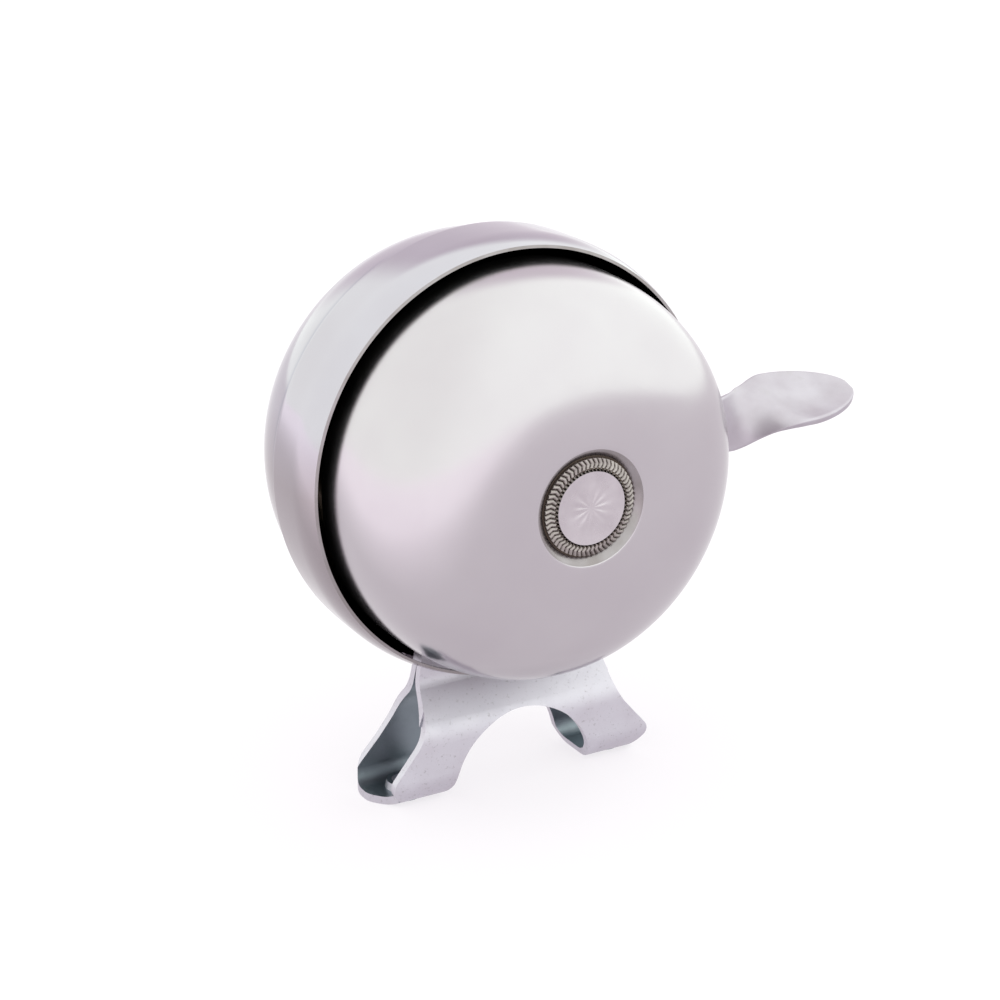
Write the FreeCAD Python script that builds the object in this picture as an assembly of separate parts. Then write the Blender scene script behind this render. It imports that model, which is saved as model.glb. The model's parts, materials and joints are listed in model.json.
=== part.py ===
import FreeCAD, Part

import math
import os

from FreeCAD import Vector

# Two-note bicycle bell on a handlebar saddle bracket. Millimetres.
#
# The bell is drawn about its own axis, which runs along Y through x = z = 0. y is the depth behind
# the rear gong's rim, so negative y is towards the front gong. save() then moves every piece to the
# object's frame: +Z up, origin on the handlebar's axis in the bracket's front sheet, front gong
# towards -Y.

# Driving dimensions
SADDLE_RADIUS = 11.5          # a 22.2 mm handlebar with room for its sleeve
SADDLE_FLARE = 0.8            # how far the arch opens out at the feet's bottom
FLARE_HEIGHT = 1.8            # where the flare starts above the handlebar's axis
BELL_HEIGHT = 48.7            # bell axis above the handlebar's axis

GONG_SHEET = 0.7
FRONT_RADIUS = 30.0           # 60 mm front gong
FRONT_HEIGHT = 21.8
FRONT_RIM = 1.7               # its rim stands inside the rear gong's mouth
FRONT_ROUNDNESS = 3.25       # exponent of the crown's superellipse
RECESS_RADIUS = 8.24
RECESS_FLOOR = -19.1
RECESS_FLOOR_RADIUS = 7.35

REAR_RIM_RADIUS = 31.7
REAR_RADIUS = 32.6
REAR_WAIST = 5.1              # depth of the widest place
REAR_STEP = 11.9              # depth of the rolled step
REAR_STEP_DROP = 1.0
REAR_DOME_HEIGHT = 27.0
REAR_ROUNDNESS = 3.2

BRACKET_SHEET = 1.2
NECK_TOP = -14.0
NECK_FRONT = 2.4
NECK_BACK = NECK_FRONT + 2 * BRACKET_SHEET
NECK_HALF_WIDTH = 14.4
FOOT_FRONT = -2.2
FOOT_BACK = 9.4
FOOT_BOTTOM = -49.2
FOOT_HALF_WIDTH = 22.8
FOOT_WAIST = 19.4             # half-width at the front bend
EAR_START = 0.2               # depth from which the foot widens again round the screw
NECK_SLOT_HALF = 15.9         # of the rear gong's slot round the neck
FRONT_SHEET_MIDDLE = FOOT_FRONT + BRACKET_SHEET / 2
NECK_RIVETS = [(-7.0, -20.0), (7.0, -20.0)]
SCREW_SPACING = 34.0
SCREW_DEPTH = 4.0
SCREW_HOLE_RADIUS = 1.65      # M4 tapping hole
COLLAR_HEIGHT = 1.1           # of the hole's drawn collar above the sheet

STUD_RADIUS = 2.5             # M5 centre stud
STUD_FRONT = -19.0
STUD_BACK = 35.2
STUD_HOLE_RADIUS = STUD_RADIUS + 0.1
CAP_RADIUS = 7.0
CAP_HEIGHT = 0.75             # above the recess's floor
CAP_BOSS_RADIUS = 3.8
WASHER_THICKNESS = 0.8
REAR_CROWN = REAR_WAIST + REAR_DOME_HEIGHT
RUNNING = 0.05                # radial clearance of every turning fit

MODULE = 0.7
PRESSURE_ANGLE = math.radians(25)
TOOTH_ADDENDUM = 0.8          # stub teeth, in modules
TOOTH_DEDENDUM = 1.05
TOOTH_THINNING = 0.06         # taken off each flank for backlash
SECTOR_TEETH = 42             # of a full circle; the lever carries six of them
IDLER_PINION_TEETH = 10
IDLER_GEAR_TEETH = 34
FLYER_PINION_TEETH = 12

LEVER_PIVOT = (18.0, -3.0)
LEVER_TRAVEL = 30.0
SPRING_WIRE = 0.25            # radius
SPRING_COIL = 2.95            # mean radius
SPRING_TURNS = 2.25
SPRING_DEPTHS = (1.62, 2.87)
ARM_TILT = 4.7                # rest direction of the lever's arm
ARM_HALF = 3.5
HUB_RADIUS = 5.0
PAD_START = 37.0              # where the lever's arm begins to twist into the thumb pad
PAD_MIDDLE = 50.5
PAD_TIP = 61.2
PAD_HALF_WIDTH = 6.4
PAD_TWIST = 72.0
PAD_DISH = 0.9
CHASSIS_RADIUS = 26.5
CHASSIS_WINDOWS = [((-14.5, 7.5), 5.5), ((-15.5, -6.5), 4.0)]   # centre and radius
TAB_REACH = 5.2               # stop tabs, along the arm from its pivot
TAB_WIDTH = 3.0
TAB_SHEET = 1.2

# Depths of the layers, front to back
FRONT_HAMMER = (-6.5, -3.05)
FLYER_BAR = (-2.9, -1.7)
REAR_HAMMER = (-1.6, 0.4)
IDLER_GEAR = (1.9, 2.9)
FLYER_PINION = (1.7, 3.1)
LEVER = (3.2, 4.2)
CHASSIS = (4.8, 6.0)

HAMMER_ANGLE = 145.0          # rest direction of the front hammer; the rear one is opposite
FRONT_STRIKE_ANGLE = 250.0    # direction of the lug in the front gong
REAR_STRIKE_ANGLE = 30.0
FRONT_PIN_REACH = 21.5
REAR_PIN_REACH = 20.5
FRONT_HAMMER_RADIUS = 6.0
REAR_HAMMER_RADIUS = 6.0
HAMMER_PLAY = 0.7
PIN_RADIUS = 1.5
FLYER_BOSS = 3.2


# Plain geometry helpers

def polar(centre, radius, degrees):
    angle = math.radians(degrees)
    return centre[0] + radius * math.cos(angle), centre[1] + radius * math.sin(angle)


def bearing(start, end):
    return math.degrees(math.atan2(end[1] - start[1], end[0] - start[0]))


def distance(a, b):
    return math.hypot(b[0] - a[0], b[1] - a[1])


def cylinder(centre, radius, front, back):
    """A round bar along Y between two depths."""
    return Part.makeCylinder(radius, back - front, Vector(centre[0], front, centre[1]), Vector(0, 1, 0))


def tube(centre, outer, inner, front, back):
    return cylinder(centre, outer, front, back).cut(cylinder(centre, inner, front - 1, back + 1))


def plate(points, front, back):
    """A flat plate between two depths, from the corners of its outline in (x, z)."""
    corners = [Vector(x, front, z) for x, z in points]
    return Part.Face(Part.makePolygon(corners + corners[:1])).extrude(Vector(0, back - front, 0))


def block(low, high):
    size = [b - a for a, b in zip(low, high)]
    return Part.makeBox(*size, Vector(*low))


def turned(edges):
    """A body of revolution about the bell's axis. The edges close a profile in the x-y plane."""
    return Part.Face(Part.Wire(Part.__sortEdges__(edges))).revolve(Vector(0, 0, 0), Vector(0, 1, 0), 360)


def lines(points):
    vectors = [Vector(x, y, 0) for x, y in points]
    return [Part.makeLine(a, b) for a, b in zip(vectors, vectors[1:])]


def spline(points):
    curve = Part.BSplineCurve()
    curve.interpolate([Vector(x, y, 0) for x, y in points])
    return curve.toShape()


def rounded(points, radii, place):
    """A closed wire through corners, each rounded to its radius. place maps (u, v) to a Vector."""
    edges = []
    starts, ends, middles = [], [], []
    count = len(points)
    for i, (corner, radius) in enumerate(zip(points, radii)):
        before, after = points[i - 1], points[(i + 1) % count]
        to_before = [(before[k] - corner[k]) / distance(before, corner) for k in (0, 1)]
        to_after = [(after[k] - corner[k]) / distance(after, corner) for k in (0, 1)]
        half = math.acos(sum(a * b for a, b in zip(to_before, to_after))) / 2
        reach = radius / math.tan(half)
        bisector = [a + b for a, b in zip(to_before, to_after)]
        length = math.hypot(*bisector) or 1.0
        inset = radius / math.sin(half) - radius
        starts.append([corner[k] + to_before[k] * reach for k in (0, 1)])
        ends.append([corner[k] + to_after[k] * reach for k in (0, 1)])
        middles.append([corner[k] + bisector[k] / length * inset for k in (0, 1)])
    for i in range(count):
        if radii[i]:
            arc = Part.Arc(place(*starts[i]), place(*middles[i]), place(*ends[i]))
            edges.append(arc.toShape())
        following = starts[(i + 1) % count]
        if distance(ends[i], following) > 1e-6:
            edges.append(Part.makeLine(place(*ends[i]), place(*following)))
    return Part.Wire(edges)


def joined(first, *others):
    return first.multiFuse(list(others)).removeSplitter()


def save(name, shape):
    """Move a piece to the object's frame and write it."""
    solids = shape.Solids
    body = solids[0] if len(solids) == 1 else Part.makeCompound(solids)
    moved = body.translated(Vector(0, -FRONT_SHEET_MIDDLE, BELL_HEIGHT))
    moved.exportStep("parts/" + name + ".step")
    print(name, len(solids), round(moved.Volume, 2), moved.isValid())


# Gears: involute stub teeth about a centre in (x, z)

def tooth_flank(teeth):
    """(radius, half-angle in degrees) from the root to the tip of one tooth flank."""
    pitch = MODULE * teeth / 2
    base = pitch * math.cos(PRESSURE_ANGLE)
    root = pitch - TOOTH_DEDENDUM * MODULE
    tip = pitch + TOOTH_ADDENDUM * MODULE

    def involute(radius):
        angle = math.acos(min(1.0, base / radius))
        return math.tan(angle) - angle

    half_at_pitch = math.pi / (2 * teeth) - TOOTH_THINNING / pitch
    steps = 4
    start = max(base, root)
    radii = [start + (tip - start) * i / steps for i in range(steps + 1)]
    flank = [(r, half_at_pitch + involute(pitch) - involute(r)) for r in radii]
    if root < base:
        flank.insert(0, (root, flank[0][1]))
    return [(r, math.degrees(half)) for r, half in flank]


def teeth_outline(centre, teeth, first_angle, count):
    """Outline points of a run of teeth, the first one centred on first_angle."""
    flank = tooth_flank(teeth)
    points = []
    for k in range(count):
        middle = first_angle + 360.0 * k / teeth
        points += [polar(centre, r, middle - half) for r, half in flank]
        points += [polar(centre, r, middle + half) for r, half in reversed(flank)]
    return points


def gear(centre, teeth, tooth_angle, front, back):
    return plate(teeth_outline(centre, teeth, tooth_angle, teeth), front, back)


def centre_distance(teeth_a, teeth_b):
    return MODULE * (teeth_a + teeth_b) / 2


def idler_centre():
    """Where the idler meshes with both the lever's sector and the flyer's pinion, above the pivot."""
    to_axis = centre_distance(IDLER_GEAR_TEETH, FLYER_PINION_TEETH)
    to_pivot = centre_distance(SECTOR_TEETH, IDLER_PINION_TEETH)
    span = math.hypot(*LEVER_PIVOT)
    along = (to_axis ** 2 - to_pivot ** 2 + span ** 2) / (2 * span)
    across = math.sqrt(to_axis ** 2 - along ** 2)
    ux, uz = LEVER_PIVOT[0] / span, LEVER_PIVOT[1] / span
    return along * ux - across * uz, along * uz + across * ux


AXIS = (0.0, 0.0)
IDLER = idler_centre()
MESH_ANGLE = bearing(LEVER_PIVOT, IDLER)
FRONT_PIN = polar(AXIS, FRONT_PIN_REACH, HAMMER_ANGLE)
REAR_PIN = polar(AXIS, REAR_PIN_REACH, HAMMER_ANGLE + 180)
SPRING_POST_RADIUS = 0.9
SPRING_POST = (LEVER_PIVOT[0] - SPRING_COIL - SPRING_WIRE - SPRING_POST_RADIUS, LEVER_PIVOT[1] - 7.0)
SPRING_HOLE = (LEVER_PIVOT[0] + 6.2, LEVER_PIVOT[1] + SPRING_COIL)


# Gongs

def superellipse(radius, height, power, rim, direction, r_stop):
    """Points of a crown from its rim in to radius r_stop, rising in the given y direction."""
    count = 16
    end = math.acos(min(1.0, (r_stop / radius) ** (power / 2)))
    points = []
    for i in range(count + 1):
        t = end * i / count
        r = radius * math.cos(t) ** (2 / power)
        rise = height * math.sin(t) ** (2 / power)
        points.append((r, rim + direction * rise))
    return points


def front_inner(r_stop):
    return superellipse(FRONT_RADIUS - GONG_SHEET, FRONT_HEIGHT - GONG_SHEET, FRONT_ROUNDNESS,
                        FRONT_RIM, -1, r_stop)


def front_gong():
    outer = superellipse(FRONT_RADIUS, FRONT_HEIGHT, FRONT_ROUNDNESS, FRONT_RIM, -1, RECESS_RADIUS)
    inner = front_inner(RECESS_RADIUS + 0.5)
    floor_back = RECESS_FLOOR + GONG_SHEET
    recess = [outer[-1], (RECESS_FLOOR_RADIUS, RECESS_FLOOR), (CAP_BOSS_RADIUS + 0.1, RECESS_FLOOR),
              (CAP_BOSS_RADIUS + 0.1, floor_back), (RECESS_RADIUS - 0.2, floor_back), inner[-1]]
    edges = [spline(outer)] + lines(recess) + [spline(inner[::-1])] + lines([inner[0], outer[0]])
    return turned(edges)


def rear_dome(inset, r_stop):
    """The dome behind the step, starting at the step's foot."""
    points = superellipse(REAR_RADIUS - REAR_STEP_DROP - inset, REAR_DOME_HEIGHT - inset,
                          REAR_ROUNDNESS, REAR_WAIST, 1, r_stop)
    return [p for p in points if p[1] > REAR_STEP + 0.9]


def rear_band(inset):
    """The barrel-shaped band between the rim and the step."""
    mouth = REAR_RIM_RADIUS - inset
    bulge = REAR_RADIUS - inset
    back = REAR_RADIUS - 0.15 - inset
    return [(mouth, 0.0), (bulge, REAR_WAIST), (back, REAR_STEP)]


def rear_profile(inset, r_stop):
    band = rear_band(inset)
    dome = rear_dome(inset, r_stop)
    arc = Part.Arc(*[Vector(x, y, 0) for x, y in band]).toShape()
    return [arc] + lines([band[-1], dome[0]]) + [spline(dome)], band[0], dome[-1]


def rear_gong():
    outer, outer_rim, outer_crown = rear_profile(0, STUD_HOLE_RADIUS)
    inner, inner_rim, inner_crown = rear_profile(GONG_SHEET, STUD_HOLE_RADIUS)
    shell = turned(outer + lines([outer_crown, inner_crown]) + inner + lines([inner_rim, outer_rim]))
    neck_slot = block((-NECK_SLOT_HALF, NECK_FRONT - 1.1, -REAR_RADIUS - 2),
                      (NECK_SLOT_HALF, CHASSIS[1] + 0.1, -REAR_RADIUS + 9))
    slot_ends = [(0.0, 0.0)] + [polar(AXIS, REAR_RADIUS + 6, a) for a in (-33, -22, -11, 0, 11)]
    lever_slot = plate(slot_ends, LEVER[0] - 0.4, LEVER[1] + 0.4)
    lever_slot = lever_slot.cut(cylinder(AXIS, REAR_RADIUS - 6, 0, REAR_STEP))
    return shell.cut(neck_slot).cut(lever_slot)


def front_strike_tab():
    """A small lug spot-welded inside the front gong, shaped to its wall."""
    reach, half_width = 28.4, 1.5
    bar = block((reach, -6.0, -half_width), (reach + 6, -3.6, half_width))
    bar.rotate(Vector(0, 0, 0), Vector(0, 1, 0), -FRONT_STRIKE_ANGLE)
    return bar.common(front_inside())


def front_inside():
    inner = front_inner(3.0)
    axis_end = (0.0, inner[-1][1])
    return turned([spline(inner)] + lines([inner[-1], axis_end, (0.0, FRONT_RIM), inner[0]]))


def rear_inside():
    edges, rim, crown = rear_profile(GONG_SHEET, 3.0)
    return turned(edges + lines([crown, (0.0, crown[1]), (0.0, 0.0), rim]))


# Bracket

def loop_outline():
    """Side view (y, z) of the bent strap, closed across the top of the neck."""
    front = [(NECK_FRONT, NECK_TOP), (NECK_FRONT, -31.5), (FOOT_FRONT + 0.3, -38.0),
             (FOOT_FRONT, FOOT_BOTTOM)]
    back = [(FOOT_BACK, FOOT_BOTTOM), (FOOT_BACK - 0.3, -40.0), (FOOT_BACK - 1.3, -35.6),
            (NECK_BACK + 0.5, -32.5), (NECK_BACK, -28.0), (NECK_BACK, NECK_TOP)]
    return front + back, [0, 3, 6, 4.5, 3.5, 6, 6, 6, 6, 0]


def loop_hollow():
    """Side view of the gap inside the strap, one sheet in. It closes to a crease in the neck."""
    t = BRACKET_SHEET
    points = [(NECK_FRONT + t, -28.3), (NECK_FRONT + t, -31.9), (FOOT_FRONT + 0.3 + t, -38.4),
              (FOOT_FRONT + t, FOOT_BOTTOM + t), (FOOT_BACK - t, FOOT_BOTTOM + t),
              (FOOT_BACK - 0.3 - t, -40.1), (FOOT_BACK - 1.3 - t, -36.1), (NECK_BACK + 0.5 - t, -32.9)]
    return points, [0, 4.2, 4.8, 3.3, 2.3, 7.2, 7.2, 4.8]


def mirrored(points, radii):
    """An outline symmetric about x = 0, from its right half."""
    return points + [(-x, v) for x, v in reversed(points)], radii + radii[::-1]


def front_sheet_width():
    """Front view (x, z) of the front sheet, which narrows again towards the bend."""
    right = [(NECK_HALF_WIDTH, NECK_TOP), (NECK_HALF_WIDTH, -27.0), (15.9, -38.2), (21.9, -45.3),
             (FOOT_WAIST + 0.2, -48.3), (FOOT_WAIST, FOOT_BOTTOM - 0.5)]
    return mirrored(right, [0, 6, 10, 1.8, 1.0, 0])


def rear_sheet_width():
    """Front view (x, z) of the neck and the rear sheet."""
    right = [(12.0, NECK_TOP), (NECK_HALF_WIDTH, -27.0), (15.9, -38.2), (FOOT_HALF_WIDTH, -46.0),
             (FOOT_HALF_WIDTH, FOOT_BOTTOM - 0.5)]
    return mirrored(right, [4, 6, 16, 4, 0])


def foot_plan():
    """Plan view (x, y) of the feet behind the bend, each widening into a rounded ear."""
    right = [(FOOT_WAIST + 0.3, EAR_START - 0.1), (FOOT_HALF_WIDTH, SCREW_DEPTH),
             (FOOT_HALF_WIDTH, FOOT_BACK + 0.1)]
    return mirrored(right, [0, 3.0, 3.0])


def saddle_cut():
    """The handlebar's round and the flaring mouth below its axis."""
    bar = cylinder((0, -BELL_HEIGHT), SADDLE_RADIUS, -10, 20)
    start_half = math.sqrt(SADDLE_RADIUS ** 2 - FLARE_HEIGHT ** 2)
    open_half = SADDLE_RADIUS + SADDLE_FLARE
    right = [(start_half, FLARE_HEIGHT - BELL_HEIGHT), (open_half, FOOT_BOTTOM), (open_half, -60)]
    mouth = plate(right + [(-x, z) for x, z in reversed(right)], -10, 20)
    return bar.fuse(mouth)


def bracket():
    """One strap of sheet bent round into two foot loops, its ends meeting in the neck."""
    def side(y, z):
        return Vector(-30, y, z)

    def front(x, z):
        return Vector(x, -10, z)

    def top(x, y):
        return Vector(x, y, -60)

    def swept(outline, place, along):
        return Part.Face(rounded(*outline, place)).extrude(along)

    width = Vector(60, 0, 0)
    strap = swept(loop_outline(), side, width).cut(swept(loop_hollow(), side, width))
    front_blank = swept(front_sheet_width(), front, Vector(0, 10 + EAR_START, 0))
    rear_blank = swept(rear_sheet_width(), front, Vector(0, 30, 0))
    rear_blank = rear_blank.common(swept(foot_plan(), top, Vector(0, 0, 60)))
    strap = strap.common(front_blank.fuse(rear_blank))
    strap = strap.cut(saddle_cut())
    for side_sign in (-1, 1):
        base = Vector(side_sign * SCREW_SPACING / 2, SCREW_DEPTH, FOOT_BOTTOM)
        collar = Part.makeCone(2.9, 2.4, BRACKET_SHEET + COLLAR_HEIGHT, base)
        strap = strap.fuse(collar).cut(Part.makeCylinder(SCREW_HOLE_RADIUS, 8, base - Vector(0, 0, 2)))
    for hole in NECK_RIVETS:
        strap = strap.cut(cylinder(hole, PIN_RADIUS, 0, 10))
    return strap.removeSplitter()


# Chassis and centre stack

def stop_tab(tilt, side_sign):
    """A tab bent up from the chassis, just clear of the arm's edge at one end of its travel."""
    near = ARM_HALF + 0.1
    far = near + TAB_SHEET
    low, high = sorted((side_sign * near, side_sign * far))
    tab = block((TAB_REACH, LEVER[0] - 0.2, low), (TAB_REACH + TAB_WIDTH, CHASSIS[0] + 0.1, high))
    tab.rotate(Vector(0, 0, 0), Vector(0, 1, 0), -tilt)
    return tab.translated(Vector(LEVER_PIVOT[0], 0, LEVER_PIVOT[1]))


def chassis():
    disc = cylinder(AXIS, CHASSIS_RADIUS, *CHASSIS)
    body = disc.fuse(stop_tab(ARM_TILT, 1)).fuse(stop_tab(ARM_TILT - LEVER_TRAVEL, -1))
    body = body.cut(cylinder(AXIS, STUD_RADIUS, 0, 10))
    for centre in [IDLER, LEVER_PIVOT, SPRING_POST] + NECK_RIVETS:
        body = body.cut(cylinder(centre, PIN_RADIUS, 0, 10))
    for centre, radius in CHASSIS_WINDOWS:
        body = body.cut(cylinder(centre, radius, 0, 10))
    return body


def rivet(centre, radius, front, back, head_radius, front_head, back_head):
    """A shank between two depths with a head beyond each end."""
    shank = cylinder(centre, radius, front, back)
    heads = [cylinder(centre, head_radius, front - front_head, front)]
    if back_head:
        heads.append(cylinder(centre, head_radius, back, back + back_head))
    return joined(shank, *heads)


def neck_rivets():
    head_radius, front_head, back_head = 2.8, 0.8, 0.9
    return Part.makeCompound([rivet(c, PIN_RADIUS, NECK_FRONT, CHASSIS[1], head_radius,
                                    front_head, back_head) for c in NECK_RIVETS])


def centre_stud():
    chamfer = 0.4
    front, back = STUD_FRONT + chamfer, STUD_BACK - chamfer
    along = Vector(0, 1, 0)
    stud = cylinder(AXIS, STUD_RADIUS, front, back)
    nose = Part.makeCone(STUD_RADIUS - chamfer, STUD_RADIUS, chamfer, Vector(0, STUD_FRONT, 0), along)
    tail = Part.makeCone(STUD_RADIUS, STUD_RADIUS - chamfer, chamfer, Vector(0, back, 0), along)
    return joined(stud, nose, tail)


def hexagon(across_flats, front, back):
    corner = across_flats / math.sqrt(3)
    return plate([polar(AXIS, corner, 60 * k) for k in range(6)], front, back)


def standoff():
    """A hexagonal pillar on the stud that the front gong rests on, counterbored for the nut's boss."""
    front = RECESS_FLOOR + GONG_SHEET + WASHER_THICKNESS
    across_flats, counterbore_end = 10.0, -15.5
    pillar = hexagon(across_flats, front, FLYER_BAR[0] - 0.45)
    bored = pillar.cut(cylinder(AXIS, STUD_RADIUS, -30, 10))
    return bored.cut(cylinder(AXIS, CAP_BOSS_RADIUS + 0.1, front - 1, counterbore_end))


def cap_nut():
    """Knurled nut: a low bevelled flange, a raised centre, and a threaded boss behind."""
    base, top = RECESS_FLOOR, RECESS_FLOOR - CAP_HEIGHT
    boss_end = base + 3.3
    face = [(0.0, top), (4.9, top), (5.1, top + 0.2), (5.3, top + 0.32), (5.7, top + 0.05),
            (CAP_RADIUS - 0.4, base - 0.28), (CAP_RADIUS, base)]
    behind = [(CAP_BOSS_RADIUS, base), (CAP_BOSS_RADIUS, boss_end), (STUD_RADIUS, boss_end),
              (STUD_RADIUS, base), (0.0, base), (0.0, top)]
    return turned(lines(face + behind))


def acorn_nut():
    hex_start = REAR_CROWN + WASHER_THICKNESS
    hex_end, across_flats, dome_radius, dome_height = hex_start + 3.5, 8.0, 3.9, 2.9
    body = hexagon(across_flats, hex_start, hex_end)
    rim = Vector(dome_radius, hex_end, 0)
    shoulder = Vector(dome_radius * 0.7, hex_end + dome_height * 0.7, 0)
    crown = Vector(0, hex_end + dome_height, 0)
    dome_start = hex_end - 0.1
    outline = lines([(0.0, crown.y), (0.0, dome_start), (dome_radius, dome_start), (dome_radius, hex_end)])
    dome = turned([Part.Arc(rim, shoulder, crown).toShape()] + outline)
    return joined(body, dome).cut(cylinder(AXIS, STUD_RADIUS, 0, STUD_BACK))


# Moving pieces

def lever_section(x, half_width, twist, y, z, dish):
    """A thin curved strip section across the lever at x, turned from upright (0) towards flat (90)."""
    half_sheet = (LEVER[1] - LEVER[0]) / 2
    angle = math.radians(twist)

    def place(across, out):
        return Vector(x, y + across * math.sin(angle) - out * math.cos(angle),
                      z + across * math.cos(angle) + out * math.sin(angle))

    corners = [place(-half_width, half_sheet), place(half_width, half_sheet),
               place(half_width, -half_sheet), place(-half_width, -half_sheet)]
    hollow_top = place(0, half_sheet - dish)
    hollow_back = place(0, -half_sheet - dish)
    return Part.Wire([Part.Arc(corners[0], hollow_top, corners[1]).toShape(),
                      Part.makeLine(corners[1], corners[2]),
                      Part.Arc(corners[2], hollow_back, corners[3]).toShape(),
                      Part.makeLine(corners[3], corners[0])])


def eased(start, end, value):
    """0 before start, 1 after end, and a smooth rise between them."""
    t = min(1.0, max(0.0, (value - start) / (end - start)))
    return t * t * (3 - 2 * t)


def thumb_pad():
    """The strip leaves the arm upright, twists and widens into a dished oval."""
    depth = (LEVER[0] + LEVER[1]) / 2
    neck_half = 4.05
    stations = 12
    sections = []
    for i in range(stations):
        x = PAD_START + (PAD_TIP - 0.1 - PAD_START) * math.sin(math.pi / 2 * i / (stations - 1))
        beyond = max(0.0, (x - PAD_MIDDLE) / (PAD_TIP - PAD_MIDDLE))
        widening = eased(PAD_START + 1, PAD_MIDDLE, x)
        half_width = (neck_half + (PAD_HALF_WIDTH - neck_half) * widening) * math.sqrt(1 - beyond ** 2)
        turn = eased(PAD_START, PAD_START + 11, x)
        z = -1.5 + 2.2 * eased(PAD_START, PAD_START + 8, x) - 0.7 * beyond ** 2
        dish = 0.02 + PAD_DISH * turn * (half_width / PAD_HALF_WIDTH) ** 2
        sections.append(lever_section(x, half_width, PAD_TWIST * turn, depth, z, dish))
    return Part.makeLoft(sections, True, False)


def lever():
    tooth_step = 360.0 / SECTOR_TEETH
    edge = teeth_outline(LEVER_PIVOT, SECTOR_TEETH, MESH_ANGLE - tooth_step, 6)
    sector = plate([LEVER_PIVOT] + edge, *LEVER)
    hub = cylinder(LEVER_PIVOT, HUB_RADIUS, *LEVER)
    root = polar(LEVER_PIVOT, 12.0, ARM_TILT)
    lift = math.radians(ARM_TILT)
    up = (-ARM_HALF * math.sin(lift), ARM_HALF * math.cos(lift))
    arm_points = [(LEVER_PIVOT[0] - up[0], LEVER_PIVOT[1] - up[1]), (root[0] - up[0], root[1] - up[1]),
                  (PAD_START + 0.2, -5.5), (PAD_START + 0.2, 2.5), (root[0] + up[0], root[1] + up[1]),
                  (LEVER_PIVOT[0] + up[0], LEVER_PIVOT[1] + up[1])]
    arm = plate(arm_points, *LEVER)
    body = joined(sector, hub, arm, thumb_pad())
    body = body.cut(cylinder(LEVER_PIVOT, PIN_RADIUS + 0.25 + RUNNING, 0, 10))
    body = body.cut(cylinder(polar(LEVER_PIVOT, 9.5, MESH_ANGLE + 14), 1.8, 0, 10))
    return body.cut(cylinder(SPRING_HOLE, 0.6, 0, 10))


def lever_rivet():
    """The lever's pivot: a shank stepped down into the chassis, and the spring's arbor in front."""
    shank = cylinder(LEVER_PIVOT, PIN_RADIUS + 0.25, LEVER[0] - 0.05, CHASSIS[0])
    tail = cylinder(LEVER_PIVOT, PIN_RADIUS, CHASSIS[0], CHASSIS[1])
    arbor = cylinder(LEVER_PIVOT, 2.4, 1.4, LEVER[0] - 0.05)
    upset = cylinder(LEVER_PIVOT, 2.5, CHASSIS[1], CHASSIS[1] + 0.8)
    return joined(shank, tail, arbor, upset)


def spring_coil():
    """Turns of round wire about the Y axis, from (-SPRING_COIL, 0, 0) towards +Y."""
    length = SPRING_DEPTHS[1] - SPRING_DEPTHS[0]
    pitch = length / SPRING_TURNS
    climb = pitch / (2 * math.pi * SPRING_COIL)
    helix = Part.makeLongHelix(pitch, length, SPRING_COIL)
    ring = Part.Wire(Part.makeCircle(SPRING_WIRE, Vector(SPRING_COIL, 0, 0), Vector(0, 1, climb)))
    coil = Part.Wire(helix.Edges).makePipeShell([ring], True, True)
    coil.rotate(Vector(0, 0, 0), Vector(1, 0, 0), -90)
    coil.rotate(Vector(0, 0, 0), Vector(0, 1, 0), 180)
    return coil


def bent_leg(start, corner, end, radius):
    """A round wire from start to end with one bend of the given radius at its square corner."""
    into = corner.sub(start).normalize()
    onward = end.sub(corner).normalize()
    bend_start = corner.sub(into * radius)
    bend_end = corner.add(onward * radius)
    middle = bend_start.add(onward * radius).add((into - onward).normalize() * radius)
    path = Part.Wire([Part.makeLine(start, bend_start), Part.Arc(bend_start, middle, bend_end).toShape(),
                      Part.makeLine(bend_end, end)])
    section = Part.Wire(Part.makeCircle(SPRING_WIRE, start, into))
    return path.makePipeShell([section], True, False)


def return_spring():
    """A torsion spring round the lever's pivot, from the chassis post to a hole in the arm."""
    front, back = SPRING_DEPTHS
    x, z = LEVER_PIVOT
    lap = 0.1                     # how far each leg runs into the coil's end
    lean = 0.03
    post_start = Vector(x - SPRING_COIL - lean, front, z + lap)
    post_end = Vector(x - SPRING_COIL, front, z - 8.2)
    post_run = post_end.sub(post_start)
    post_leg = Part.makeCylinder(SPRING_WIRE, post_run.Length, post_start, post_run)
    arm_leg = bent_leg(Vector(x - lap, back, z + SPRING_COIL), Vector(SPRING_HOLE[0], back, SPRING_HOLE[1]),
                       Vector(SPRING_HOLE[0], LEVER[1], SPRING_HOLE[1]), 0.6)
    return spring_coil().translated(Vector(x, front, z)).multiFuse([post_leg, arm_leg])


def rear_strike_lug():
    """An angled lug welded inside the rear gong that reaches into the flyer's circle."""
    reach, sheet, half_width = 27.4, 0.7, 1.5
    front, back = -1.2, 2.7
    foot = block((reach, back - sheet, -half_width), (reach + 6, back, half_width))
    face = block((reach, front, -half_width), (reach + sheet, back, half_width))
    lug = joined(foot, face)
    lug.rotate(Vector(0, 0, 0), Vector(0, 1, 0), -REAR_STRIKE_ANGLE)
    return lug.common(rear_inside())


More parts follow.
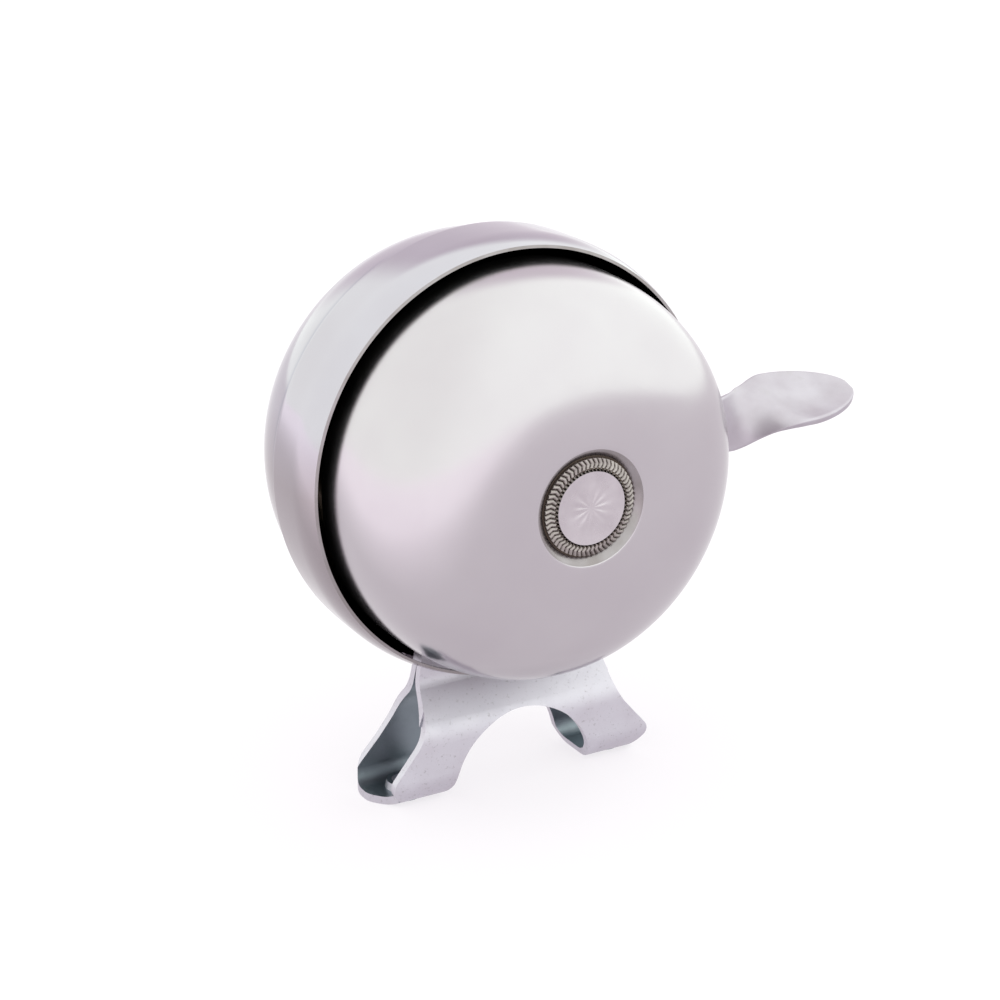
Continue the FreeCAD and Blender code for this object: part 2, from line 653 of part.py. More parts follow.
def flyer_bar():
    """A flat arm each side of the hub, narrowing to the hammer pins."""
    hub = cylinder(AXIS, 6.5, *FLYER_BAR)
    ends = [cylinder(pin, 3.6, *FLYER_BAR) for pin in (FRONT_PIN, REAR_PIN)]
    outline = []
    for angle, reach in ((HAMMER_ANGLE, FRONT_PIN_REACH), (HAMMER_ANGLE + 180, REAR_PIN_REACH)):
        outline += [polar(AXIS, 5.5, angle - 90), polar(polar(AXIS, reach, angle), 3.4, angle - 90),
                    polar(polar(AXIS, reach, angle), 3.4, angle + 90), polar(AXIS, 5.5, angle + 90)]
    arms = plate(outline[:4], *FLYER_BAR).fuse(plate(outline[4:], *FLYER_BAR))
    body = joined(hub, arms, *ends)
    for centre, radius in ((AXIS, FLYER_BOSS), (FRONT_PIN, PIN_RADIUS), (REAR_PIN, PIN_RADIUS)):
        body = body.cut(cylinder(centre, radius, -10, 10))
    return body


def main():
    os.makedirs("parts", exist_ok=True)

    save("front_gong", front_gong())
    save("rear_gong", rear_gong())
    save("front_strike_tab", front_strike_tab())
    save("rear_strike_lug", rear_strike_lug())

    save("saddle_bracket", bracket())
    save("chassis_plate", chassis())
    save("neck_rivets", neck_rivets())

    save("centre_stud", centre_stud())
    save("thrust_collar", tube(AXIS, 3.3, STUD_RADIUS, FLYER_PINION[1] + 0.1, CHASSIS[0]))
    save("gong_standoff", standoff())
    floor_back = RECESS_FLOOR + GONG_SHEET
    save("rubber_washer", tube(AXIS, 6.2, CAP_BOSS_RADIUS + 0.1, floor_back, floor_back + WASHER_THICKNESS))
    save("cap_nut", cap_nut())
    save("rear_spacer_tube", tube(AXIS, 4.5, STUD_RADIUS + 0.1, CHASSIS[1], REAR_CROWN - GONG_SHEET - 0.05))
    save("rear_washer", tube(AXIS, 5.5, STUD_RADIUS + 0.1, REAR_CROWN, REAR_CROWN + WASHER_THICKNESS))
    save("acorn_nut", acorn_nut())

    save("thumb_lever", lever())
    save("lever_rivet", lever_rivet())
    save("lever_washer", tube(LEVER_PIVOT, 4.2, PIN_RADIUS + 0.3, LEVER[1], CHASSIS[0]))
    save("return_spring", return_spring())
    save("spring_post", joined(cylinder(SPRING_POST, SPRING_POST_RADIUS, 1.4, CHASSIS[0]),
                               cylinder(SPRING_POST, PIN_RADIUS, CHASSIS[0], CHASSIS[1]),
                               cylinder(SPRING_POST, 2.2, CHASSIS[1], CHASSIS[1] + 0.7)))

    to_axis = bearing(IDLER, AXIS)
    bore = PIN_RADIUS + RUNNING
    pinion_boss = 2.2
    save("idler_gear", gear(IDLER, IDLER_GEAR_TEETH, to_axis, *IDLER_GEAR)
         .cut(cylinder(IDLER, pinion_boss, 0, 10)))
    pinion_angle = MESH_ANGLE + 180 + 180.0 / IDLER_PINION_TEETH
    save("idler_pinion", gear(IDLER, IDLER_PINION_TEETH, pinion_angle, IDLER_GEAR[1], CHASSIS[0] - 0.1)
         .fuse(cylinder(IDLER, pinion_boss, *IDLER_GEAR)).cut(cylinder(IDLER, bore, 0, 10)))
    save("idler_axle", rivet(IDLER, PIN_RADIUS, IDLER_GEAR[0] - 0.05, CHASSIS[1], 2.4, 0.6, 0.8))

    flyer_angle = to_axis + 180 + 180.0 / FLYER_PINION_TEETH
    save("flyer_pinion", gear(AXIS, FLYER_PINION_TEETH, flyer_angle, *FLYER_PINION)
         .fuse(cylinder(AXIS, 3.4, FLYER_BAR[1], FLYER_PINION[0]))
         .fuse(cylinder(AXIS, FLYER_BOSS, FLYER_BAR[0] - 0.3, FLYER_BAR[1]))
         .cut(cylinder(AXIS, STUD_RADIUS + RUNNING, -30, 30)))
    save("flyer_bar", flyer_bar())
    save("front_hammer_pin", rivet(FRONT_PIN, PIN_RADIUS, FRONT_HAMMER[0] - 0.15, FLYER_BAR[1], 2.9,
                                   0.7, 0.6))
    save("rear_hammer_pin", rivet(REAR_PIN, PIN_RADIUS, FLYER_BAR[0], REAR_HAMMER[1] + 0.1, 2.9, 0.5, 0.45))
    save("front_hammer", tube(FRONT_PIN, FRONT_HAMMER_RADIUS, PIN_RADIUS + HAMMER_PLAY, *FRONT_HAMMER))
    save("rear_hammer", tube(REAR_PIN, REAR_HAMMER_RADIUS, PIN_RADIUS + HAMMER_PLAY, *REAR_HAMMER))


main()
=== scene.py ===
import json
import math

import bmesh
import bpy
from mathutils import Matrix, Vector

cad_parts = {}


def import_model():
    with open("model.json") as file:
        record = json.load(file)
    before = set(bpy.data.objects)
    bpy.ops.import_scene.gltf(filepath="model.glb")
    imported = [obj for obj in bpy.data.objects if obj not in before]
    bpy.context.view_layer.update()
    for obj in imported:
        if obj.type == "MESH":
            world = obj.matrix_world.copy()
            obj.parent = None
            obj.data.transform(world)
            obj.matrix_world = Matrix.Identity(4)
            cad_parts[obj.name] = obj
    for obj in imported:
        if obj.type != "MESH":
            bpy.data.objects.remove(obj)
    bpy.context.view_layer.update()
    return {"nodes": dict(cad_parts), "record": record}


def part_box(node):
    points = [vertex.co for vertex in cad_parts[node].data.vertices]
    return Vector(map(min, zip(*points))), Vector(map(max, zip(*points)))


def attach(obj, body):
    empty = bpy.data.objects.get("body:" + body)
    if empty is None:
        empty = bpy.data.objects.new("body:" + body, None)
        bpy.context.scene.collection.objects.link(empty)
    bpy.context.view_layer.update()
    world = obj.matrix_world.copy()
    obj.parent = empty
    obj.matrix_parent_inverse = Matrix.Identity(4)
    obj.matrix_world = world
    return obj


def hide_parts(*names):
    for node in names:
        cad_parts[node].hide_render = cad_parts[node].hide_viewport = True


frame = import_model()
nodes = frame["nodes"]

# Two-note bicycle bell: finished surfaces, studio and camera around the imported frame. Metres.
# The bell's axis runs along Y at height AXIS_Z. The front gong faces -Y and the lever points to +X.

MM = 0.001


def extent(node, axis):
    low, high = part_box(node)
    return low[axis], high[axis]


# Sizes read from the frame
FRONT_RIM_RADIUS = (extent("front_gong", 0)[1] - extent("front_gong", 0)[0]) / 2
AXIS_Z = sum(extent("front_gong", 2)) / 2
FRONT_RIM_Y = extent("front_gong", 1)[1]
REAR_MOUTH_Y = extent("rear_gong", 1)[0]
REAR_WIDEST = (extent("rear_gong", 0)[1] - extent("rear_gong", 0)[0]) / 2
FOOT_BOTTOM_Z = extent("saddle_bracket", 2)[0]
NUT_BACK_Y = extent("cap_nut", 1)[1]
NUT_RADIUS = (extent("cap_nut", 0)[1] - extent("cap_nut", 0)[0]) / 2

# Shape of the gongs, as in the design
SHEET = 0.7 * MM
FRONT_HEIGHT = 21.8 * MM
FRONT_ROUNDNESS = 3.25
RECESS_RADIUS = 8.24 * MM
RECESS_FLOOR_Y = REAR_MOUTH_Y - 19.1 * MM
REAR_MOUTH_RADIUS = REAR_WIDEST - 0.9 * MM
REAR_BAND_BACK_RADIUS = REAR_WIDEST - 0.15 * MM
REAR_WAIST_Y = REAR_MOUTH_Y + 5.1 * MM
REAR_STEP_Y = REAR_MOUTH_Y + 11.9 * MM
REAR_DOME_RADIUS = REAR_WIDEST - 1.0 * MM
REAR_DOME_HEIGHT = 27.0 * MM
REAR_ROUNDNESS = 3.2
STUD_HOLE_RADIUS = 2.6 * MM
TURNS = 256                   # facets round a gong
LIP_SHEET = 0.42 * MM         # the rear gong's mouth is thinned to this
LIP_TAPER = 1.2 * MM

# Shape of the bracket, as in the design
LOOP_TOP_Z = AXIS_Z - 31.5 * MM
NECK_FRONT_Y = REAR_MOUTH_Y + 2.4 * MM
LOOP_FRONT_Y = NECK_FRONT_Y - 3.1 * MM
LOOP_BACK_Y = extent("saddle_bracket", 1)[1]

# Material slots of the gongs' and the nut's own meshes
POLISHED, DARK, WORN_AND_SHADE = 0, 1, 2


# Meshes

def finish_mesh(name, mesh, sharp_degrees=35):
    """Smooth shading with creases only where two faces meet at a real corner."""
    bm = bmesh.new()
    bm.from_mesh(mesh)
    bmesh.ops.recalc_face_normals(bm, faces=bm.faces)
    limit = math.radians(sharp_degrees)
    for face in bm.faces:
        face.smooth = True
    for edge in bm.edges:
        edge.smooth = len(edge.link_faces) != 2 or edge.calc_face_angle(0) < limit
    bm.to_mesh(mesh)
    bm.free()
    obj = bpy.data.objects.new(name, mesh)
    bpy.context.scene.collection.objects.link(obj)
    return obj


def around_axis(radius, y, segments):
    """Points spaced evenly round the bell's axis."""
    turns = [2 * math.pi * k / segments for k in range(segments)]
    return [(radius * math.cos(a), y, AXIS_Z + radius * math.sin(a)) for a in turns]


def joined(bm, near, far):
    """The faces between two rings of vertices. A ring may be one vertex repeated."""
    faces = []
    for k in range(len(near)):
        j = (k + 1) % len(near)
        corners = list(dict.fromkeys([near[k], near[j], far[j], far[k]]))
        faces.append(bm.faces.new(corners))
    return faces


def mesh_of(bm, name):
    mesh = bpy.data.meshes.new(name)
    bm.to_mesh(mesh)
    bm.free()
    return mesh


def turned(name, runs, segments=TURNS):
    """A closed body of revolution. runs are (points, material slot), each point (radius, y)."""
    bm = bmesh.new()
    points, slots = [], []
    for run, slot in runs:
        for point in run:
            if not points or (Vector(point) - Vector(points[-1])).length > 1e-7:
                points.append(point)
                slots.append(slot)
    rings = [[bm.verts.new(place) for place in around_axis(radius, y, segments)] for radius, y in points]
    for i, near in enumerate(rings):
        after = (i + 1) % len(rings)
        for face in joined(bm, near, rings[after]):
            face.material_index = slots[after]
    return mesh_of(bm, name)


def superellipse(radius, height, power, rim_y, toward, stop_radius, count=56):
    """A crown's outline from its rim in to stop_radius, in the +Y or -Y direction."""
    end = math.acos(min(1.0, (stop_radius / radius) ** (power / 2)))
    outline = []
    for i in range(count + 1):
        t = end * i / count
        outline.append((radius * math.cos(t) ** (2 / power),
                        rim_y + toward * height * math.sin(t) ** (2 / power)))
    return outline


def fillet(before, corner, after, radius, count=6):
    """Points of an arc-like corner between two straight neighbours."""
    a, b, c = Vector(before), Vector(corner), Vector(after)
    start = b + (a - b).normalized() * min(radius, (a - b).length * 0.49)
    end = b + (c - b).normalized() * min(radius, (c - b).length * 0.49)
    points = []
    for i in range(count + 1):
        t = i / count
        points.append(tuple(start * (1 - t) ** 2 + b * 2 * t * (1 - t) + end * t ** 2))
    return points


def prism(outline, low_y, high_y):
    """A closed solid between two depths from an outline in (x, z)."""
    bm = bmesh.new()
    front = [bm.verts.new((x, low_y, z)) for x, z in outline]
    back = [bm.verts.new((x, high_y, z)) for x, z in outline]
    bm.faces.new(front)
    bm.faces.new(back[::-1])
    joined(bm, front, back)
    bmesh.ops.recalc_face_normals(bm, faces=bm.faces)
    return mesh_of(bm, "prism")


def rectangle(left, right, low, high):
    return [(left, low), (right, low), (right, high), (left, high)]


def combined(first, second, operation):
    """The exact union, intersection or difference of two closed meshes."""
    body = bpy.data.objects.new("body", first)
    tool = bpy.data.objects.new("tool", second)
    for obj in (body, tool):
        bpy.context.scene.collection.objects.link(obj)
    modifier = body.modifiers.new("combine", "BOOLEAN")
    modifier.operation = operation
    modifier.solver = "EXACT"
    modifier.object = tool
    bpy.context.view_layer.update()
    evaluated = body.evaluated_get(bpy.context.evaluated_depsgraph_get())
    result = bpy.data.meshes.new_from_object(evaluated)
    for obj in (body, tool):
        bpy.data.objects.remove(obj)
    return result


# Materials

class Shader:
    """A small helper that adds nodes to a new material and links them."""

    def __init__(self, name):
        self.material = bpy.data.materials.new(name)
        self.material.use_nodes = True
        self.tree = self.material.node_tree
        self.tree.nodes.clear()
        self.output = self.tree.nodes.new("ShaderNodeOutputMaterial")
        self.surface = self.tree.nodes.new("ShaderNodeBsdfPrincipled")
        self.tree.links.new(self.surface.outputs[0], self.output.inputs["Surface"])
        self.place = self.node("ShaderNodeTexCoord").outputs["Object"]

    def node(self, kind, inputs=None, **settings):
        made = self.tree.nodes.new(kind)
        for key, value in settings.items():
            setattr(made, key, value)
        for key, value in (inputs or {}).items():
            self.feed(made.inputs[key], value)
        return made

    def feed(self, socket, value):
        if isinstance(value, bpy.types.NodeSocket):
            self.tree.links.new(value, socket)
        else:
            socket.default_value = value

    def math(self, operation, a, b=0.0):
        made = self.node("ShaderNodeMath", operation=operation)
        self.feed(made.inputs[0], a)
        self.feed(made.inputs[1], b)
        return made.outputs[0]

    def noise(self, scale, detail=3.0, roughness=0.5, vector=None):
        made = self.node("ShaderNodeTexNoise", {"Scale": scale, "Detail": detail, "Roughness": roughness})
        self.feed(made.inputs["Vector"], vector or self.place)
        return made.outputs[0]

    def spread(self, value, low, high, from_low=0.3, from_high=0.7):
        """low where the value is from_low or less, high from from_high on, and between them a ramp."""
        made = self.node("ShaderNodeMapRange", {"Value": value, "From Min": from_low,
                                                "From Max": from_high, "To Min": low, "To Max": high})
        return made.outputs[0]

    def blend(self, factor, first, second):
        made = self.node("ShaderNodeMix", data_type="RGBA")
        self.feed(made.inputs[0], factor)
        self.feed(made.inputs[6], (*first, 1.0) if isinstance(first, tuple) else first)
        self.feed(made.inputs[7], (*second, 1.0) if isinstance(second, tuple) else second)
        return made.outputs[2]

    def split(self, vector):
        """The x, y and z of a vector."""
        return self.node("ShaderNodeSeparateXYZ", {"Vector": vector}).outputs

    def round_axis(self):
        """Coordinates (radius, depth, 0), the same all the way round the bell's axis."""
        x, y, z = self.split(self.place)
        height = self.math("SUBTRACT", z, AXIS_Z)
        squares = self.math("ADD", self.math("MULTIPLY", x, x), self.math("MULTIPLY", height, height))
        radius = self.math("SQRT", squares)
        return self.node("ShaderNodeCombineXYZ", {"X": radius, "Y": y}).outputs[0]

    def bump(self, height, distance, strength=1.0):
        made = self.node("ShaderNodeBump", {"Height": height, "Distance": distance, "Strength": strength})
        return made.outputs[0]

    def finish(self, colour, roughness, normal=None, metallic=1.0):
        """Sets the surface and gives its material."""
        self.feed(self.surface.inputs["Base Color"], (*colour, 1.0) if isinstance(colour, tuple) else colour)
        self.feed(self.surface.inputs["Roughness"], roughness)
        self.surface.inputs["Metallic"].default_value = metallic
        if normal:
            self.feed(self.surface.inputs["Normal"], normal)
        return self.material


def turned_finish(s, tint, low, high):
    """Fine turning lines on steel whose roughness lies between low and high."""
    lines = s.noise(9000, 2, vector=s.round_axis())
    roughness = s.math("ADD", s.spread(s.noise(120, 3), low, high), s.spread(lines, -0.02, 0.03))
    return s.finish(tint, roughness, s.bump(lines, 2e-6, 0.4))


def satin_steel():
    """The front gong's steel: a faint lilac mottling, and painted shade making it greyer at the very bottom.
    """
    s = Shader("satin_steel")
    tint = s.blend(s.spread(s.noise(70, 4), 0, 1), (0.455, 0.415, 0.447), (0.480, 0.443, 0.472))
    # Painted shade: the bottom of the dome, where it faces the floor, is blended towards a darker grey.
    lower_shade = s.spread(s.split(s.place)[2], 1, 0, AXIS_Z - 30 * MM, AXIS_Z - 23 * MM)
    return turned_finish(s, s.blend(lower_shade, tint, (0.355, 0.325, 0.360)), 0.17, 0.22)


def lilac_steel():
    """The rear gong's steel: bluer, with painted shade browning its lower half and a painted shadow just
    behind the step.
    """
    s = Shader("lilac_steel")
    x, depth, height = s.split(s.place)
    tint = s.blend(s.spread(s.noise(60, 4), 0, 1), (0.400, 0.368, 0.412), (0.430, 0.402, 0.450))
    # Painted shade: everything below the axis is blended towards a darker brown.
    lower_shade = s.spread(height, 1, 0, AXIS_Z, AXIS_Z + 9 * MM)
    tint = s.blend(lower_shade, tint, (0.325, 0.285, 0.305))
    # Painted shadow: a dark bluish band starts just behind the step and fades out over about 3 mm.
    past_step = s.spread(depth, 0, 1, REAR_STEP_Y, REAR_STEP_Y + 0.15 * MM)
    step_shadow_fade = s.spread(depth, 1, 0, REAR_STEP_Y + 0.2 * MM, REAR_STEP_Y + 3.0 * MM)
    tint = s.blend(s.math("MULTIPLY", step_shadow_fade, past_step), tint, (0.225, 0.230, 0.290))
    return turned_finish(s, tint, 0.09, 0.14)


def worn_edge_and_shade():
    """Darker, browner steel: worn at the rear gong's lip, where the polish stopped, and painted shade on the
    rounded mouth of the front gong's recess.
    """
    s = Shader("worn_edge_and_shade")
    tint = s.blend(s.spread(s.noise(300, 4), 0, 1), (0.235, 0.205, 0.210), (0.300, 0.270, 0.285))
    return s.finish(tint, s.spread(s.noise(500, 3), 0.24, 0.34), s.bump(s.noise(1800, 2), 4e-6))


def dark_inside():
    """The gongs' inside, the foot of the front gong's recess and the nut's notches: brown-black steel that
    paints the shade in these hollows and still mirrors what is bright beside it.
    """
    s = Shader("dark_inside")
    tint = s.blend(s.spread(s.noise(160, 4), 0, 1), (0.040, 0.030, 0.025), (0.075, 0.056, 0.045))
    return s.finish(tint, s.spread(s.noise(300, 3), 0.10, 0.18), s.bump(s.noise(1800, 2), 3e-6))


def inside_loops(s):
    """1 on the sheet's faces that look into the foot loops, 0 outside them and on the cut edges."""
    x, depth, height = s.split(s.place)
    slant = 0.66                  # of the front sheet between the neck and the loop
    sloping = s.math("ADD", s.math("MULTIPLY", height, slant), NECK_FRONT_Y - slant * LOOP_TOP_Z)
    behind_front = s.math("SUBTRACT", depth, s.math("MAXIMUM", sloping, LOOP_FRONT_Y))
    ahead_of_back = s.math("SUBTRACT", LOOP_BACK_Y, depth)
    enclosed = s.math("MULTIPLY", s.spread(behind_front, 0, 1, 0.5 * MM, 1.0 * MM),
                      s.spread(ahead_of_back, 0, 1, 0.5 * MM, 1.0 * MM))
    facing_x, facing_y = s.split(s.node("ShaderNodeTexCoord").outputs["Normal"])[:2]
    not_edge = s.spread(s.math("ABSOLUTE", facing_x), 1, 0, 0.45, 0.7)
    not_rear = s.spread(facing_y, 1, 0, 0.15, 0.4)
    return s.math("MULTIPLY", s.math("MULTIPLY", enclosed, not_edge), not_rear)


def bright_zinc():
    """Zinc plate: bluish white with fine specks, and painted shade, darker and bluer, inside the foot loops.
    """
    s = Shader("bright_zinc")
    cloud = s.spread(s.noise(140, 5, 0.6), 0, 1)
    tint = s.blend(cloud, (0.50, 0.465, 0.52), (0.57, 0.54, 0.60))
    rust = s.spread(s.noise(55, 4, 0.6), 0, 0.35, 0.60, 0.72)
    tint = s.blend(rust, tint, (0.40, 0.35, 0.31))
    clean = s.spread(s.noise(1900, 5, 0.75), 0, 1, 0.31, 0.42)
    tint = s.blend(clean, (0.36, 0.33, 0.36), tint)
    # Painted shade: the faces inside the foot loops are blended towards a dark blue-grey.
    inside = inside_loops(s)
    tint = s.blend(inside, tint, (0.215, 0.245, 0.275))
    relief = s.math("ADD", s.math("MULTIPLY", clean, 0.6), s.noise(2500, 3))
    roughness = s.math("ADD", s.spread(cloud, 0.46, 0.58), s.math("MULTIPLY", inside, -0.12))
    return s.finish(tint, roughness, s.bump(relief, 8e-6))


def tumbled_nickel():
    """The lever's plate: pinkish grey and softly worn."""
    s = Shader("tumbled_nickel")
    cloud = s.spread(s.noise(180, 4), 0, 1)
    tint = s.blend(cloud, (0.385, 0.340, 0.385), (0.450, 0.410, 0.460))
    stain = s.spread(s.noise(90, 4, 0.6), 0, 0.45, 0.58, 0.68)
    tint = s.blend(stain, tint, (0.32, 0.285, 0.29))
    return s.finish(tint, s.spread(s.noise(260, 3), 0.34, 0.46), s.bump(s.noise(900, 4), 1.6e-5))


def nut_nickel():
    """The nut's smooth disc and the acorn nut behind."""
    s = Shader("nut_nickel")
    cloud = s.spread(s.noise(400, 4), 0, 1)
    tint = s.blend(cloud, (0.47, 0.42, 0.455), (0.53, 0.48, 0.515))
    return s.finish(tint, s.spread(s.noise(900, 2), 0.26, 0.34), s.bump(s.noise(3000, 2), 3e-6))


def soiled_nickel():
    """The nut's knurl, browned by handling."""
    s = Shader("soiled_nickel")
    tint = s.blend(s.spread(s.noise(700, 4), 0, 1), (0.265, 0.230, 0.228), (0.355, 0.315, 0.308))
    return s.finish(tint, s.spread(s.noise(1200, 2), 0.34, 0.46), s.bump(s.noise(3000, 2), 3e-6))


def plain_steel():
    """Unplated steel of the hidden parts."""
    s = Shader("plain_steel")
    cloud = s.spread(s.noise(200, 4), 0, 1)
    tint = s.blend(cloud, (0.30, 0.30, 0.31), (0.42, 0.42, 0.43))
    return s.finish(tint, s.spread(s.noise(500, 3), 0.3, 0.45), s.bump(s.noise(2500, 2), 5e-6))


def cast_iron():
    """The hammers' oiled iron."""
    s = Shader("oiled_iron")
    cloud = s.spread(s.noise(300, 5), 0, 1)
    tint = s.blend(cloud, (0.06, 0.06, 0.062), (0.12, 0.12, 0.12))
    return s.finish(tint, s.spread(cloud, 0.4, 0.6), s.bump(s.noise(1800, 4), 2e-5))


def turned_brass():
    """The two pinions."""
    s = Shader("turned_brass")
    tint = s.blend(s.spread(s.noise(300, 3), 0, 1), (0.60, 0.42, 0.16), (0.72, 0.54, 0.24))
    return s.finish(tint, s.spread(s.noise(900, 2), 0.22, 0.34), s.bump(s.noise(4000, 2), 4e-6))


def black_rubber():
    """The washer under the cap nut."""
    s = Shader("black_rubber")
    tint = s.blend(s.spread(s.noise(500, 3), 0, 1), (0.012, 0.012, 0.012), (0.03, 0.03, 0.03))
    return s.finish(tint, s.spread(s.noise(900, 3), 0.6, 0.8), s.bump(s.noise(3000, 2), 1e-5), 0.0)


STEEL = satin_steel()
REAR_STEEL = lilac_steel()
EDGE = worn_edge_and_shade()
INSIDE = dark_inside()
ZINC = bright_zinc()
LEVER = tumbled_nickel()
NICKEL = nut_nickel()
KNURL = soiled_nickel()
PLAIN = plain_steel()
IRON = cast_iron()
BRASS = turned_brass()
RUBBER = black_rubber()


def dress(obj, *materials):
    """Gives the materials in slot order. Clearing resets every face's slot, so only old ones are cleared."""
    if obj.data.materials:
        obj.data.materials.clear()
    for material in materials:
        obj.data.materials.append(material)


# Gongs

SHOULDER_BEND = 0.75 * MM     # roundness of the recess's mouth
NUT_GAP = 0.2 * MM            # between the cap nut and the foot of the recess's wall
DARK_DEPTH = 0.9 * MM         # below the crown, where the recess's wall turns dark
NECK_SLOT_HALF = 15.9 * MM
NECK_SLOT_REACH = 9 * MM
NECK_SLOT_DEPTHS = (1.3 * MM, 6.1 * MM)
LEVER_SLOT_DEPTHS = (2.8 * MM, 4.6 * MM)
LEVER_SLOT_DEGREES = range(-33, 12, 4)
LIP_ROUNDING = 0.12 * MM
STEP_HEIGHT = 0.35 * MM       # of the rear gong's step, along its axis
STEP_EDGE_ROUNDING = 0.14 * MM
STEP_FOOT_ROUNDING = 0.2 * MM


def front_gong():
    """The small dome, with the recess that holds the cap nut."""
    outer = superellipse(FRONT_RIM_RADIUS, FRONT_HEIGHT, FRONT_ROUNDNESS, FRONT_RIM_Y, -1,
                         RECESS_RADIUS + SHEET / 2)
    inner = superellipse(FRONT_RIM_RADIUS - SHEET, FRONT_HEIGHT - SHEET, FRONT_ROUNDNESS, FRONT_RIM_Y, -1,
                         RECESS_RADIUS + 0.5 * MM)
    crown_y = outer[-1][1]
    wall_foot = (NUT_RADIUS + NUT_GAP, RECESS_FLOOR_Y)
    dark_from = (wall_foot[0] + 0.05 * MM, crown_y + DARK_DEPTH)
    bend = fillet(outer[-2], (RECESS_RADIUS, crown_y), dark_from, SHOULDER_BEND, 9)
    half_bend = len(bend) // 2
    bore = NUT_RADIUS - 3.5 * MM
    back_y = RECESS_FLOOR_Y + SHEET
    floor_edges = [wall_foot, (bore, RECESS_FLOOR_Y), (bore, back_y), (RECESS_RADIUS - 0.2 * MM, back_y)]
    # Painted shade in the recess round the nut: the lower half of its rounded mouth takes the darker edge
    # steel, and the wall below DARK_DEPTH takes the near-black inside steel.
    runs = [(outer[:-1] + bend[:half_bend], POLISHED), (bend[half_bend:] + [dark_from], WORN_AND_SHADE),
            (floor_edges + inner[::-1], DARK)]
    gong = finish_mesh("front_gong_finish", turned("front_gong_finish", runs))
    dress(gong, STEEL, INSIDE, EDGE)
    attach(gong, "chassis")
    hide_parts("front_gong")


def rear_outline(inset):
    """The rear gong's side from its mouth over the band and the step to the crown."""
    mouth, widest, back = [r - inset for r in (REAR_MOUTH_RADIUS, REAR_WIDEST, REAR_BAND_BACK_RADIUS)]
    band = []
    parts = 16
    for i in range(parts + 1):
        y = REAR_MOUTH_Y + (REAR_STEP_Y - REAR_MOUTH_Y) * i / parts
        if y < REAR_WAIST_Y:
            drop = (widest - mouth) * ((REAR_WAIST_Y - y) / (REAR_WAIST_Y - REAR_MOUTH_Y)) ** 2
        else:
            drop = (widest - back) * ((y - REAR_WAIST_Y) / (REAR_STEP_Y - REAR_WAIST_Y)) ** 2
        band.append((widest - drop, y))
    dome = superellipse(REAR_DOME_RADIUS - inset, REAR_DOME_HEIGHT - inset, REAR_ROUNDNESS,
                        REAR_WAIST_Y, 1, STUD_HOLE_RADIUS)
    dome = [p for p in dome if p[1] > REAR_STEP_Y + STEP_HEIGHT]
    step = fillet(band[-2], band[-1], dome[0], STEP_EDGE_ROUNDING, 4)
    foot = fillet(band[-1], dome[0], dome[1], STEP_FOOT_ROUNDING, 4)
    return band[:-1] + step + foot + dome[1:]


def rear_gong():
    """The stepped cup, with its slots for the bracket's neck and for the lever."""
    rim = (REAR_MOUTH_RADIUS, REAR_MOUTH_Y + LIP_ROUNDING)
    thin_lip = (REAR_MOUTH_RADIUS - LIP_SHEET, REAR_MOUTH_Y)
    inner = [thin_lip] + [p for p in rear_outline(SHEET) if p[1] > REAR_MOUTH_Y + LIP_TAPER]
    # The inside takes the near-black steel: painted shade in the hollow cup.
    runs = [([rim], WORN_AND_SHADE), (rear_outline(0)[1:], POLISHED), (inner[::-1], DARK)]
    mesh = turned("rear_gong_finish", runs)
    bottom_z = AXIS_Z - REAR_WIDEST
    opening = rectangle(-NECK_SLOT_HALF, NECK_SLOT_HALF, bottom_z - 2 * MM, bottom_z + NECK_SLOT_REACH)
    neck_slot = prism(opening, *[REAR_MOUTH_Y + depth for depth in NECK_SLOT_DEPTHS])
    angles = [math.radians(degrees) for degrees in LEVER_SLOT_DEGREES]
    near, far = REAR_WIDEST - 6 * MM, REAR_WIDEST + 6 * MM
    sector = [(near * math.cos(a), AXIS_Z + near * math.sin(a)) for a in angles]
    sector += [(far * math.cos(a), AXIS_Z + far * math.sin(a)) for a in reversed(angles)]
    lever_slot = prism(sector, *[REAR_MOUTH_Y + depth for depth in LEVER_SLOT_DEPTHS])
    for slot in (neck_slot, lever_slot):
        mesh = combined(mesh, slot, "DIFFERENCE")
    gong = finish_mesh("rear_gong_finish", mesh)
    dress(gong, REAR_STEEL, INSIDE, EDGE)
    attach(gong, "chassis")
    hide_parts("rear_gong")


# Cap nut

NUT_RIBS = 58
RIB_FACETS = 12
RIB_DEPTH = 0.34 * MM
DISC_RADIUS = 5.25 * MM
KNURL_START = 5.55 * MM       # inner radius of the knurled ring
NUT_TOP = 0.85 * MM           # above the recess's floor
DISC_DISH = 0.10 * MM
PETALS = 12
PETAL_REACH = 4.2 * MM
PETAL_RELIEF = 0.035 * MM
NUT_BORE = NUT_RADIUS - 3.6 * MM


def across_knurl(radius):
    """0 at the knurled ring's inside and 1 at its outside."""
    return (radius - KNURL_START) / (NUT_RADIUS - KNURL_START)


def rib(radius, angle):
    """Chevron ribs like a rope's: 1 on a crest and 0 in a notch."""
    lean = 1.5 * (1 - abs(2 * across_knurl(radius) - 1))
    return abs(math.sin(NUT_RIBS * angle / 2 + lean)) ** 0.8


def nut_height(radius, angle):
    """How far the nut stands out of the recess's floor."""
    if radius < DISC_RADIUS:
        rosette = math.cos(PETALS * angle) * math.sin(math.pi * min(radius / PETAL_REACH, 1.0)) ** 2
        dish = DISC_DISH * (1 - (radius / DISC_RADIUS) ** 4)
        return NUT_TOP - dish + PETAL_RELIEF * rosette
    if radius < KNURL_START:
        down = (radius - DISC_RADIUS) / (KNURL_START - DISC_RADIUS)
        return NUT_TOP - 0.45 * MM * math.sin(math.pi * down / 2)
    crown = NUT_TOP - 0.22 * MM - 0.33 * MM * across_knurl(radius) ** 1.8
    return crown + RIB_DEPTH * (rib(radius, angle) - 0.6)


